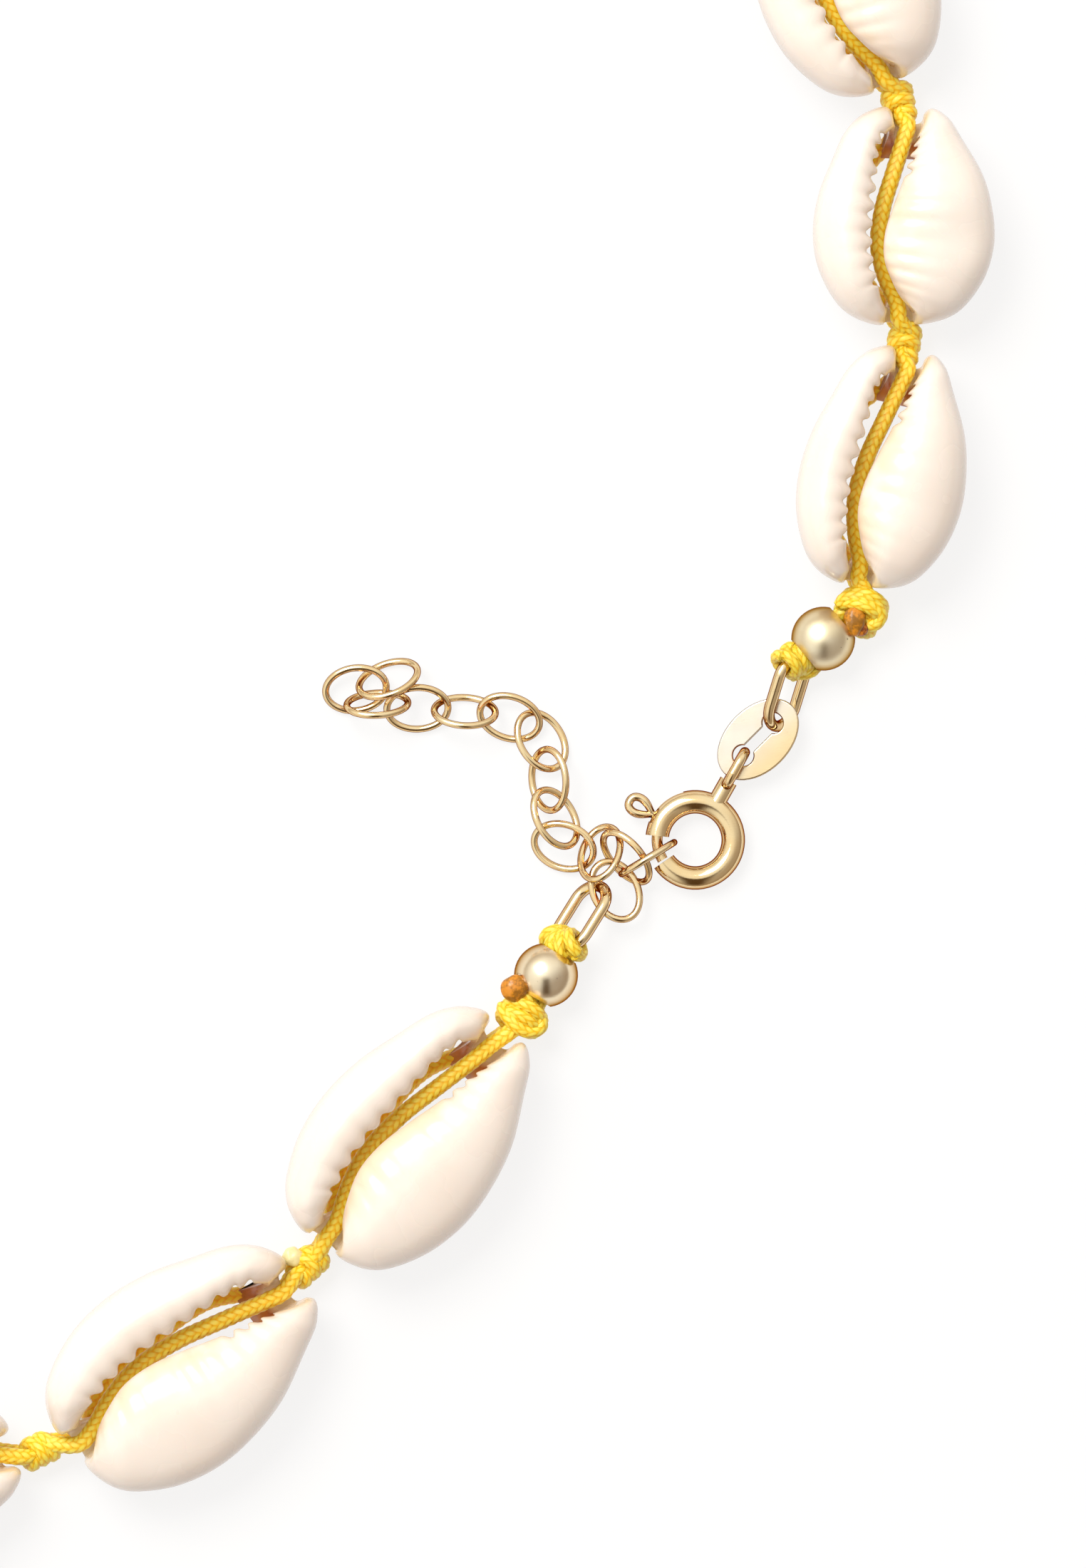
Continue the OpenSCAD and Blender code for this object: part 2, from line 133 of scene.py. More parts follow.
# Stations round one shell, from the rear notch along the toothed left lip to the front
# notch and back along the right lip. The tips are rounder than the model's and reach the cord.
# Columns: edge x, edge y, rim x, rim y, crest, inner foot, outer foot
STATIONS = np.array([
    [-0.77, EDGE_Y - 0.004, -0.90, EDGE_Y + 0.006, NOTCH_CREST, 0.05, 0.75],
    [-0.81, EDGE_Y + 0.008, -0.945, EDGE_Y + 0.032, 0.64, 0.08, 0.70],
    [-0.70, 0.112, -0.910, 0.218, 0.85, 0.35, 0.80],
    [-0.56, 0.135, -0.765, 0.352, 0.95, 0.55, 0.86],
    [-0.36, 0.165, -0.46, 0.462, 1.00, 0.64, 0.90],
    [-0.12, 0.178, -0.13, 0.500, 1.00, 0.66, 0.90],
    [0.12, 0.172, 0.20, 0.478, 1.00, 0.66, 0.90],
    [0.36, 0.165, 0.50, 0.415, 0.98, 0.64, 0.90],
    [0.58, 0.158, 0.775, 0.345, 0.93, 0.55, 0.86],
    [0.74, 0.130, 0.955, 0.238, 0.82, 0.35, 0.80],
    [0.83, EDGE_Y + 0.010, 1.03, EDGE_Y + 0.040, 0.60, 0.08, 0.70],
    [0.76, EDGE_Y - 0.004, 0.90, EDGE_Y + 0.006, NOTCH_CREST, 0.05, 0.75],
    [0.76, -EDGE_Y + 0.004, 0.90, -EDGE_Y - 0.006, NOTCH_CREST, 0.05, 0.75],
    [0.83, -EDGE_Y - 0.010, 1.035, -EDGE_Y - 0.040, 0.60, 0.08, 0.70],
    [0.70, -0.040, 0.965, -0.205, 0.80, 0.35, 0.80],
    [0.54, -0.010, 0.74, -0.305, 0.90, 0.55, 0.86],
    [0.34, 0.020, 0.43, -0.425, 0.97, 0.64, 0.90],
    [0.12, 0.065, 0.10, -0.488, 1.00, 0.66, 0.90],
    [-0.13, 0.105, -0.20, -0.500, 1.00, 0.66, 0.90],
    [-0.36, 0.105, -0.50, -0.452, 1.00, 0.64, 0.90],
    [-0.56, 0.055, -0.76, -0.345, 0.95, 0.55, 0.86],
    [-0.70, 0.000, -0.880, -0.225, 0.82, 0.35, 0.80],
    [-0.80, -EDGE_Y - 0.008, -0.920, -EDGE_Y - 0.038, 0.64, 0.08, 0.70],
    [-0.77, -EDGE_Y + 0.004, -0.90, -EDGE_Y - 0.006, NOTCH_CREST, 0.05, 0.75],
])
# Columns of the model's mesh and the stations that they stand at
COLUMN_STOPS = [[0, 0], [2, 2], [3, 2.65], [13, 9.2], [14, 10], [18, 14], [28, 22], [30, 24]]
# Columns: share of the way from edge to rim, share of the crest, of the outer and inner foot
SECTION = np.array([
    [0, 0, 1, 0],
    [1, 0.5, 0, 0],
    [0.88, 0.84, 0, 0],
    [0.5, 1.0, 0, 0],
    [0.15, 0.95, 0, 0],
    [0, 0.76, 0, 0],
    [0, 0.55, 0, 0.45],
    [0, 0, 0, 1],
])
# The section's row at the slit's edge
EDGE_ROW = 5
# Steps between the section's rows, and the fine rows in each
ROW_STEPS = [(0, 1, 5), (1, 3, 8), (3, 5, 10), (5, 7, 6)]
# Fine columns in each column of the model's mesh
COLUMN_STEPS = 9

# Teeth as notches between them. Columns: first and last station, notches
LEFT_TEETH = (2.65, 9.2, 10)
RIGHT_TEETH = (13.7, 15.9, 4)
RIGHT_WRINKLES = (15.9, 22.2, 10)
# How deep the left teeth's grooves run on the lip, and the right teeth's
GROOVE_DEPTH, RIGHT_GROOVE_DEPTH = 0.10, 0.12
# How deep the wrinkles beside the slit are, in millimetres, repeated along the loop
WRINKLE_STRENGTH = [0.13, 0.14, 0.12, 0.09, 0.11, 0.10]
# Tips of the lips that are evened out. Columns: first and last station
TIPS = ((0.75, 1.9), (9.2, 10.25), (12.75, 13.9), (21.2, 22.25))
# Floors of the canal inside the front and the rear end. Columns: first and last station that is
# drawn out, softness, share along of the sill, its shares to the side, its first and last station
FRONT_FLOOR = (10.2, 12.9, 0.8, 0.575, 0.15, -0.07, 10.0, 13.0)
REAR_FLOOR = (23.3, 24.8, 0.9, -0.66, -0.06, 0.08, 22.6, 25.4)

SHELL_REST, STRAND_REST, BEAD_REST = 0.18, 0.065, 0.005
LIFT = CORD_D + SHELL_REST
UNDER_Z = CORD_D / 2 + STRAND_REST
OVER_Z = LIFT + NOTCH_CREST * SHELL_H + GAP + CORD_D / 2
KNOT_Z = (UNDER_Z + OVER_Z) / 2
BEAD_Z = BEAD_D / 2 + BEAD_REST
STRAND_UP = CORD_D / 2 + GAP / 2

# Columns: share along, share to the side, share of the shell's height
FRONT_ROUTE = [
    [-0.88, 0, 0.01], [-0.74, 0.015, 0.06], [-0.50, 0.090, 0.16], [-0.22, 0.135, 0.20],
    [0.10, 0.120, 0.20], [0.42, 0.070, 0.16], [0.72, 0.020, 0.07], [0.87, 0, 0.01],
]
# Columns: share along, share of the shell's own drift, share of the shell's height
BACK_ROUTE = [
    [-0.88, 0.05, 0], [-0.76, 0.25, 0], [-0.42, 0.90, 0.10],
    [0, 1, 0.18], [0.42, 0.90, 0.10], [0.76, 0.25, 0], [0.87, 0.05, 0],
]
# Columns: x, y, heading of the bore, direction to the end knot, heading of the knot
BEAD_A = [64.12, -7.98, 40, 37, 62]
BEAD_B = [47.48, -28.17, 240, 240, 57]
# Poses: x, y, z, yaw, pitch, roll
RING_A_POSE = [61.95, -11.2, 1.52, 73, 10, 54]
RING_B_POSE = [49.6, -24.65, 1.5, 58, -11, -50]

# The arch of each end knot. Columns: along, left, up
ARCH_A = [[-0.25, 1.25, 0.35], [0.30, 1.10, 0.80], [0.70, 0.35, 1.05], [0.72, -0.60, 0.95],
          [0.30, -1.20, 0.65], [-0.30, -1.15, 0.50], [-0.60, -0.70, 0.45]]
ARCH_B = [[-0.15, 1.30, 0.35], [-0.45, 0.95, 0.80], [-0.68, 0.10, 1.05], [-0.62, -0.75, 0.85],
          [-0.10, -1.25, 0.65], [0.45, -1.00, 0.60], [0.62, -0.35, 0.60]]
# The melted nub by the last knot but one: along, left and up, and its size
NUB_AT, NUB_SIZE = (-0.25, 0.98, 0.55), (0.62, 0.60, 0.42)
# Burnt ends. Columns: along, left, up, size, how burnt
BURNT_A = [(-0.70, 0.05, 0.95, (0.64, 0.95, 0.50), 0.85),
           (-0.95, -0.55, 0.70, (0.42, 0.48, 0.35), 1.0)]
BURNT_B = [(1.12, 1.30, 1.20, (0.80, 0.80, 0.50), 0.85)]

# The chain's links, from ring B to the free end, of wire a little thicker than the model's
LINK_L, LINK_W, LINK_WIRE = 4.1, 3.07, 0.42
LINKS = [
    [51.65, -23.1, 1.36, -62, 2, -5],
    [53.6, -21.15, 1.56, 31, 1, 90],
    [52.3, -21.1, 1.26, -50, -4, 50],
    [50.75, -20.85, 1.45, 81, -31, -33],
    [48.55, -20.45, 0.62, -19, 5, 12],
    [48.05, -18.75, 1.0, -61, 0, -35],
    [47.65, -16.45, 1.06, -85, 0, 40],
    [47.2, -14.1, 0.67, -58, 0, -20],
    [45.3, -12.7, 0.68, -18, -1, 20],
    [42.6, -12.35, 1.24, -3, 0, -50],
    [39.75, -12.15, 0.78, 2, -2, 20],
    [37.35, -11.9, 1.4, 4, -5, -59],
    [36.05, -11.0, 0.72, 9, 4, 16],
    [38.0, -10.4, 1.15, 20, 0, -45],
]

# The spring ring's centre and its gate. Angles run round the centre from +X
CLASP_AT = [56.45, -20.06, 0.95]
TUBE_R = 2.29
GATE_D = 0.66
GATE_START, GATE_TIP = 123, 211.7
TRIGGER_ANGLE = 149
# How much taller than wide the trigger's wire is
TRIGGER_TALL = 1.2
# The trigger's bent wire on one side. Columns: reach from the centre, to the side, radius
TRIGGER = [[2.3, 0.04, 0.16], [2.95, 0.06, 0.17], [3.2, 0.14, 0.20], [3.5, 0.32, 0.23],
           [3.8, 0.44, 0.25], [4.12, 0.47, 0.25], [4.42, 0.36, 0.25], [4.56, 0.14, 0.25]]

# The braid of the cord: its yarns each way, a yarn's step along, its depth as a share of the radius
YARNS = 8
BRAID_PITCH = 0.52
BRAID_DEPTH = 0.26
# About how many triangles each strand gets in all
FRONT_TRIANGLES = 190000
BACK_TRIANGLES = 120000
# Length of the pieces that a wound cord's path is cut into, and how many sides its mesh has
KNOT_STEP, WOUND_STEP = 0.12, 0.11
WOUND_SIDES, END_KNOT_SIDES = 24, 28
# How much nearer to the axis an end knot's inner turns lie
INNER_IN = 0.62
# Sides of a wire's mesh
WIRE_SIDES = 20
# Radius at the tag's edges
TAG_EDGE_R = 0.10
# The doubled cord in a bead: places along the bore, its distance from the axis, its radius
CORE_REACH = (-1.45, -0.7, 0, 0.9, 1.8, 2.5)
CORE_SIDE, CORE_R = 0.47, 0.5
# The cord's wraps round a ring's end: their directions across the bend, how far each leans
WRAP_FANS, WRAP_LEAN = (-46, -16, 16, 46), 0.22
# The wound ball between a bead and its ring: distance from the bead, cord radius
BALL_REACH, BALL_CORD_R = 2.15, 0.40


def spline(rows, places, closed):
    """Rows of a table read at places along a smooth curve through them."""
    count = len(rows)
    first = np.floor(places).astype(int)
    if not closed:
        first = np.minimum(first, count - 2)
    t = (places - first)[:, None]

    def pick(k):
        i = first + k
        return rows[i % count] if closed else rows[np.clip(i, 0, count - 1)]

    a, b, c, d = pick(-1), pick(0), pick(1), pick(2)
    return 0.5 * (2 * b + (c - a) * t + (2 * a - 5 * b + 4 * c - d) * t ** 2
                  + (3 * b - a - 3 * c + d) * t ** 3)


def smoothstep(low, high, x):
    t = np.clip((x - low) / (high - low), 0, 1)
    return t * t * (3 - 2 * t)


def bump(low, high, soft, x):
    """1 between low and high, running out over soft on each side."""
    return smoothstep(low - soft, low, x) * (1 - smoothstep(high, high + soft, x))


def scallop(u, first, last, notches):
    """0 on the teeth and 1 in the notches between them."""
    phase = (u - first) / (last - first) * notches
    wave = (0.5 - 0.5 * np.cos(2 * np.pi * phase)) ** 1.5
    return np.where((phase > 0) & (phase < notches), wave, 0)


def uneven(u, rng, least):
    """A factor from least to 1 that changes along a lip."""
    knots = np.arange(0, len(STATIONS) + 1, 0.6)
    return np.interp(u, knots, rng.uniform(least, 1, len(knots)))


def grid_faces(rows, columns, wrap_rows, wrap_columns):
    """Four corners of each face of a grid of points."""
    r = np.arange(rows if wrap_rows else rows - 1)[:, None]
    c = np.arange(columns if wrap_columns else columns - 1)[None, :]
    r2, c2 = (r + 1) % rows, (c + 1) % columns
    corners = [r * columns + c, r * columns + c2, r2 * columns + c2, r2 * columns + c]
    return np.stack(corners, axis=-1).reshape(-1, 4)


def mesh_piece(name, points, faces, material, node, attributes, uv=None, sharp=None,
               body=BODY):
    """A piece of the necklace in place of a CAD node. Points are in millimetres."""
    mesh = bpy.data.meshes.new(name)
    mesh.from_pydata((np.asarray(points) * MM).tolist(), [], [list(f) for f in faces])
    mesh.polygons.foreach_set("use_smooth", [True] * len(mesh.polygons))
    if sharp is not None:
        mesh.set_sharp_from_angle(angle=math.radians(sharp))
    for key, values in attributes.items():
        layer = mesh.attributes.new(key, "FLOAT", "POINT")
        layer.data.foreach_set("value", np.asarray(values, np.float32).ravel())
    if uv is not None:
        layer = mesh.uv_layers.new(name="braid")
        layer.data.foreach_set("uv", np.asarray(uv, np.float32).ravel())
    mesh.materials.append(material)
    piece = bpy.data.objects.new(name, mesh)
    bpy.context.scene.collection.objects.link(piece)
    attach(piece, body)
    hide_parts(node)


class Graph:
    """The shader nodes of a material or a world, made by short calls."""

    def __init__(self, owner, shader="Principled BSDF"):
        self.owner = owner
        owner.use_nodes = True
        self.tree = owner.node_tree
        self.shader = self.tree.nodes[shader]

    def plug(self, socket, value):
        if isinstance(value, bpy.types.NodeSocket):
            self.tree.links.new(value, socket)
        else:
            socket.default_value = value

    def node(self, kind, inputs, output=0, **settings):
        made = self.tree.nodes.new("ShaderNode" + kind)
        for key, value in settings.items():
            setattr(made, key, value)
        for key, value in inputs.items():
            self.plug(made.inputs[key], value)
        return made.outputs[output]

    def math(self, operation, *values):
        return self.node("Math", dict(enumerate(values)), operation=operation)

    def mix(self, factor, a, b):
        return self.node("Mix", {0: factor, 6: a, 7: b}, output=2, data_type="RGBA")

    def blend(self, factor, a, b):
        return self.node("Mix", {0: factor, 2: a, 3: b}, data_type="FLOAT")

    def ramp(self, value, low, high):
        """0 at low to 1 at high, with soft ends."""
        return self.node("MapRange", {0: value, 1: low, 2: high},
                         interpolation_type="SMOOTHSTEP")

    def noise(self, vector, scale, detail=3.0, roughness=0.5):
        inputs = {"Vector": vector, "Scale": scale, "Detail": detail, "Roughness": roughness}
        return self.node("TexNoise", inputs, noise_dimensions="3D")

    def attribute(self, name):
        return self.node("Attribute", {}, output="Fac", attribute_name=name)

    def place(self):
        return self.node("TexCoord", {}, output="Object")

    def parts(self, vector):
        """The X, Y and Z of a vector."""
        split = self.node("SeparateXYZ", {0: vector}, output="X").node
        return [split.outputs[axis] for axis in "XYZ"]

    def bump(self, height, strength, distance):
        inputs = {"Strength": strength, "Distance": distance, "Height": height}
        return self.node("Bump", inputs)

    def set(self, **values):
        for key, value in values.items():
            self.plug(self.shader.inputs[key.replace("_", " ")], value)


def srgb(red, green, blue):
    """A colour given as 0 to 255 in sRGB, as linear light with alpha."""
    def linear(v):
        v /= 255
        return v / 12.92 if v <= 0.04045 else ((v + 0.055) / 1.055) ** 2.4
    return (linear(red), linear(green), linear(blue), 1.0)


def shell_material():
    g = Graph(bpy.data.materials.new("shell_glaze"))
    place = g.place()
    cavity, peach, rim = g.attribute("cavity"), g.attribute("peach"), g.attribute("rim")
    cloud = g.ramp(g.noise(place, 200.0, 1.0), 0.2, 0.8)
    base = g.mix(cloud, srgb(243, 231, 220), srgb(246, 237, 228))
    patch = g.math("MULTIPLY", peach, g.ramp(g.noise(place, 420.0, 2.0), 0.25, 0.6))
    base = g.mix(g.math("MULTIPLY", patch, 0.8), base, srgb(242, 216, 182))
    # Painted shade: the rim mask darkens the low outer wall beside the floor to a brownish beige.
    base = g.mix(g.math("MULTIPLY", rim, 0.75), base, srgb(208, 187, 171))
    brown = g.mix(g.ramp(g.noise(place, 700.0, 3.0), 0.3, 0.7),
                  srgb(160, 80, 30), srgb(206, 132, 74))
    base = g.mix(cavity, base, brown)
    rough = g.blend(g.noise(place, 500.0, 1.0), 0.22, 0.32)
    g.set(Base_Color=base, Roughness=rough)
    g.set(Subsurface_Weight=0.12, Subsurface_Scale=0.0012, Coat_Weight=0.35, Coat_Roughness=0.12)
    g.set(Subsurface_Radius=(1.0, 0.6, 0.4))
    return g.owner


def braid_layers(g):
    """Height of the braid, which yarn lies on top, and places along and across it.

    Each yarn passes over two others and then under two.
    """
    around, along, _ = g.parts(g.node("UVMap", {}, uv_map="braid"))
    around = g.math("MULTIPLY", around, float(YARNS))
    along = g.math("DIVIDE", along, BRAID_PITCH)
    a = g.math("ADD", around, along)
    b = g.math("SUBTRACT", around, along)
    ia, ib = g.math("FLOOR", a), g.math("FLOOR", b)
    fa, fb = g.math("FRACT", a), g.math("FRACT", b)

    def ridge(f):
        off = g.math("SUBTRACT", g.math("MULTIPLY", f, 2.0), 1.0)
        return g.math("SQRT", g.math("SUBTRACT", 1.0, g.math("MULTIPLY", off, off)))

    def wave(x, i):
        return g.math("COSINE", g.math("MULTIPLY", g.math("ADD", x, i), math.pi / 2))

    high_a = g.math("ADD", ridge(fa), wave(b, ia))
    high_b = g.math("SUBTRACT", ridge(fb), wave(a, ib))
    top = g.math("GREATER_THAN", high_a, high_b)
    height = g.math("MULTIPLY", g.math("MAXIMUM", high_a, high_b), 0.5)
    return height, top, (a, b, fa, fb)


def braid_height(turn, length):
    """The same height as braid_layers gives, for moving points."""
    a = YARNS * turn + length / BRAID_PITCH
    b = YARNS * turn - length / BRAID_PITCH
    ia, ib = np.floor(a), np.floor(b)

    def ridge(x):
        off = 2 * (x - np.floor(x)) - 1
        return np.sqrt(1 - off * off)

    high_a = ridge(a) + np.cos(np.pi / 2 * (b + ia))
    high_b = ridge(b) - np.cos(np.pi / 2 * (a + ib))
    return np.maximum(high_a, high_b) * 0.5


def cord_material(name, highlight_colour, middle, shade_colour):
    """Braided cord with painted highlights on its yarns' crowns and painted shade in the grooves
    between them, burnt or melted where a mesh says so.
    """
    g = Graph(bpy.data.materials.new(name))
    place = g.place()
    height, top, (a, b, fa, fb) = braid_layers(g)
    across = g.blend(top, fb, fa)
    along = g.blend(top, a, b)
    thread = g.node("CombineXYZ", {0: g.math("MULTIPLY", across, 7.0),
                                   1: g.math("MULTIPLY", along, 1.2), 2: top})
    streak = g.noise(thread, 1.6, 2.0, 0.6)
    # Painted shade and highlight: the colour runs from the shade colour in the braid's grooves to
    # the highlight colour on its crowns.
    shade = g.math("ADD", height, g.math("MULTIPLY", g.math("SUBTRACT", streak, 0.5), 0.35))
    base = g.mix(g.ramp(shade, 0.0, 0.50), shade_colour, middle)
    base = g.mix(g.ramp(shade, 0.50, 0.95), base, highlight_colour)
    drift = g.ramp(g.noise(place, 170.0, 2.0), 0.35, 0.65)
    base = g.mix(g.math("MULTIPLY", drift, 0.12), base, shade_colour)
    burn, melt = g.attribute("burn"), g.attribute("melt")
    char = g.mix(g.ramp(g.noise(place, 1500.0, 3.0, 0.7), 0.42, 0.62),
                 srgb(118, 56, 14), srgb(206, 122, 30))
    base = g.mix(burn, base, char)
    base = g.mix(melt, base, srgb(238, 228, 170))
    relief = g.math("ADD", height, g.math("MULTIPLY", streak, 0.35))
    fused = g.math("MAXIMUM", burn, melt)
    crust = g.math("MULTIPLY", g.noise(place, 2600.0, 3.0), fused)
    relief = g.math("MULTIPLY", relief, g.math("SUBTRACT", 1.0, fused))
    relief = g.math("ADD", relief, crust)
    g.set(Base_Color=base, Roughness=g.blend(streak, 0.26, 0.44),
          Normal=g.bump(relief, 0.7, 0.00008))
    g.set(Specular_IOR_Level=0.5, Coat_Weight=0.12, Coat_Roughness=0.25)
    return g.owner


def painted_reflection_fade(g, place, base, box, far):
    """Deepens a colour from a box's upper left corner to its lower right one, as a painted
    reflection of the light from the upper left.
    """
    low, high = box
    x, y, _ = g.parts(place)
    right = g.math("DIVIDE", g.math("SUBTRACT", x, low[0]), high[0] - low[0])
    down = g.math("DIVIDE", g.math("SUBTRACT", high[1], y), high[1] - low[1])
    return g.mix(g.ramp(g.math("ADD", right, down), 0.75, 1.55), base, far)


def metal_material(name, light, dark, flank_shade, rough_low, rough_high, tarnish, reflection_fade=None):
    """Polished plated metal with painted shade on its flanks, scratched and a little tarnished."""
    g = Graph(bpy.data.materials.new(name))
    place = g.place()
    cloud = g.ramp(g.noise(place, 600.0, 3.0), 0.35, 0.7)
    base = g.mix(g.math("MULTIPLY", cloud, 0.5), light, dark)
    # Painted reflection: deeper towards the lower right of the box.
    if reflection_fade:
        base = painted_reflection_fade(g, place, base, *reflection_fade)
    # Painted shade: the steeper a face, the more its colour turns to the dark flank colour.
    facing = g.parts(g.node("TexCoord", {}, output="Normal"))[2]
    upward = g.ramp(g.math("ABSOLUTE", facing), 0.15, 0.88)
    base = g.mix(g.math("SUBTRACT", 1.0, upward), base, flank_shade)
    stain = g.math("MULTIPLY", g.ramp(g.noise(place, 1900.0, 4.0, 0.65), 0.66, 0.72), tarnish)
    base = g.mix(stain, base, srgb(92, 74, 48))
    stretched = g.node("Mapping", {0: place, 3: (1.0, 5.0, 2.0)})
    scratch = g.noise(stretched, 2600.0, 2.0, 0.7)
    rough = g.math("ADD", g.blend(g.noise(place, 1100.0, 3.0), rough_low, rough_high),
                   g.math("MULTIPLY", stain, 0.3))
    g.set(Base_Color=base, Roughness=rough, Normal=g.bump(scratch, 0.10, 0.00002))
    g.set(Metallic=1.0, Specular_Tint=srgb(150, 96, 44))
    return g.owner


def on_shell(shell, along, side, z):
    """A point in a shell's own frame: shares of half the length and of the width."""
    x, y = along * shell[3] / 2, side * shell[4]
    h = shell[2]
    return [shell[0] + x * cos(h) - y * sin(h), shell[1] + x * sin(h) + y * cos(h), z]


def end_knot_at(bead):
    reach = BEAD_D / 2 + GAP + END_KNOT_L / 2
    return [bead[0] + reach * cos(bead[3]), bead[1] + reach * sin(bead[3]), BEAD_Z, bead[4]]


def middle_heading(a, b):
    return math.degrees(math.atan2(sin(a) + sin(b), cos(a) + cos(b)))


def knot_between(one, other):
    a, b = on_shell(one, 0.97, 0, KNOT_Z), on_shell(other, -0.97, 0, KNOT_Z)
    return [(a[0] + b[0]) / 2, (a[1] + b[1]) / 2, KNOT_Z, middle_heading(one[2], other[2])]


# Knots in order, with the end knots first and last. Columns: x, y, z, heading
ALL_KNOTS = ([end_knot_at(BEAD_A)]
             + [knot_between(a, b) for a, b in zip(SHELLS, SHELLS[1:])]
             + [end_knot_at(BEAD_B)])


def port(knot, reach, left, up):
    h = knot[3]
    return [knot[0] + reach * cos(h) - left * sin(h),
            knot[1] + reach * sin(h) + left * cos(h), knot[2] + up]


def knot_reach(index):
    last = len(ALL_KNOTS) - 1
    return (END_KNOT_L if index in (0, last) else KNOT_L) / 2 + GAP


def strand_points(index, front):
    """A strand's way through one shell, from inside one knot to inside the next."""
    shell, before, after = SHELLS[index], ALL_KNOTS[index], ALL_KNOTS[index + 1]
    up, left = (STRAND_UP, 0) if front else (-STRAND_UP, 0.15)
    start = [port(before, 0, 0, up * 0.35), port(before, knot_reach(index), left, up)]
    end = [port(after, -knot_reach(index + 1), left, up), port(after, 0, 0, up * 0.35)]
    if front:
        way = [on_shell(shell, a, s, OVER_Z + h * SHELL_H) for a, s, h in FRONT_ROUTE]
    else:
        way = [on_shell(shell, a, s * shell[5], UNDER_Z + h * SHELL_H) for a, s, h in BACK_ROUTE]
    return np.array(start + way + end)


def lengths_to(path):
    """The length of a path up to each of its points."""
    steps = np.linalg.norm(np.diff(path, axis=0), axis=1)
    return np.concatenate([[0], np.cumsum(steps)])


def even_path(points, step):
    """A smooth curve through the points, as points an even step apart."""
    places = np.linspace(0, len(points) - 1, 24 * (len(points) - 1) + 1)
    dense = spline(np.asarray(points, float), places, closed=False)
    length = lengths_to(dense)
    count = max(4, int(round(length[-1] / step)) + 1)
    even = np.linspace(0, length[-1], count)
    return np.stack([np.interp(even, length, dense[:, k]) for k in range(3)], axis=1)


def sweep(path, radii, sides, braid=True, start=0.0):
    """A tube round a path: points, faces and the braid's places at each face's corners."""
    count = len(path)
    tangents = np.gradient(path, axis=0)
    tangents /= np.linalg.norm(tangents, axis=1)[:, None]
    helper = UP if abs(tangents[0] @ UP) < 0.9 else np.array([1.0, 0.0, 0.0])
    side = np.cross(tangents[0], helper)
    side_rows = []
    for tangent in tangents:
        side = side - (side @ tangent) * tangent
        side = side / np.linalg.norm(side)
        side_rows.append(side)
    side = np.array(side_rows)
    up = np.cross(side, tangents)
    turn = np.arange(sides) / sides
    along = start + lengths_to(path)
    radius = np.broadcast_to(radii, count)[:, None]
    if braid:
        height = braid_height(turn[None, :], along[:, None])
        radius = radius * (1 - BRAID_DEPTH + BRAID_DEPTH * height)
    else:
        radius = np.repeat(radius, sides, axis=1)
    ring = (np.cos(2 * np.pi * turn)[None, :, None] * side[:, None, :]
            + np.sin(2 * np.pi * turn)[None, :, None] * up[:, None, :])
    points = (path[:, None, :] + radius[:, :, None] * ring).reshape(-1, 3)
    quads = grid_faces(count, sides, False, True)
    row, column = np.divmod(np.arange(len(quads)), sides)
    u = np.stack([column, column + 1, column + 1, column], axis=1) / sides
    v = np.stack([along[row], along[row], along[row + 1], along[row + 1]], axis=1)
    uv = np.stack([u, v], axis=-1).reshape(-1, 2).tolist()
    uv += [[1 - k / sides, along[0]] for k in range(sides)]
    uv += [[k / sides, along[-1]] for k in range(sides)]
    caps = [list(range(sides))[::-1], [(count - 1) * sides + k for k in range(sides)]]
    return points, quads.tolist() + caps, uv


def joined(parts):
    """Several swept parts as one: points, faces and braid places, with their attributes."""
    points, faces, uv, burn, melt = [], [], [], [], []
    offset = 0
    for part_points, part_faces, part_uv, part_burn, part_melt in parts:
        points.append(part_points)
        faces += [[i + offset for i in face] for face in part_faces]
        uv += part_uv
        burn.append(np.full(len(part_points), part_burn))
        melt.append(np.full(len(part_points), part_melt))
        offset += len(part_points)
    return (np.concatenate(points), faces, uv,
            {"burn": np.concatenate(burn), "melt": np.concatenate(melt)})


def cord_part(path, radii, sides, start=0.0):
    """A braided length that is neither burnt nor melted."""
    return (*sweep(path, radii, sides, start=start), 0.0, 0.0)


def drop(centre, radii, seed, burn=0.0, melt=0.0):
    """A lumpy closed drop of melted cord."""
    rings, sides, lumps = 20, 28, 0.2
    rng = np.random.default_rng(seed)
    polar = np.linspace(0.02, np.pi - 0.02, rings)[:, None]
    turn = (np.arange(sides) / sides * 2 * np.pi)[None, :]
    unit = np.stack([np.sin(polar) * np.cos(turn), np.sin(polar) * np.sin(turn),
                     np.cos(polar) * np.ones_like(turn)], axis=-1)
    waves = rng.normal(size=(7, 3)) * 2.4
    phases = rng.uniform(0, 2 * np.pi, 7)
    swell = sum(np.sin(unit @ w + p) for w, p in zip(waves, phases)) / 7
    points = (unit * (1 + lumps * swell)[..., None] * np.array(radii)).reshape(-1, 3) + centre
    quads = grid_faces(rings, sides, False, True)
    caps = [list(range(sides)), [(rings - 1) * sides + k for k in range(sides)][::-1]]
    flat_uv = [[0.0, 0.0]] * (4 * len(quads) + 2 * sides)
    return points, [q[::-1] for q in quads.tolist()] + caps, flat_uv, burn, melt


def turned(points, place, heading):
    """Points of a piece's own frame, set down at a place and a heading."""
    points = np.asarray(points, float)
    x, y = points[:, 0], points[:, 1]
    c, s = cos(heading), sin(heading)
    return np.stack([place[0] + x * c - y * s, place[1] + x * s + y * c,
                     place[2] + points[:, 2]], axis=1)


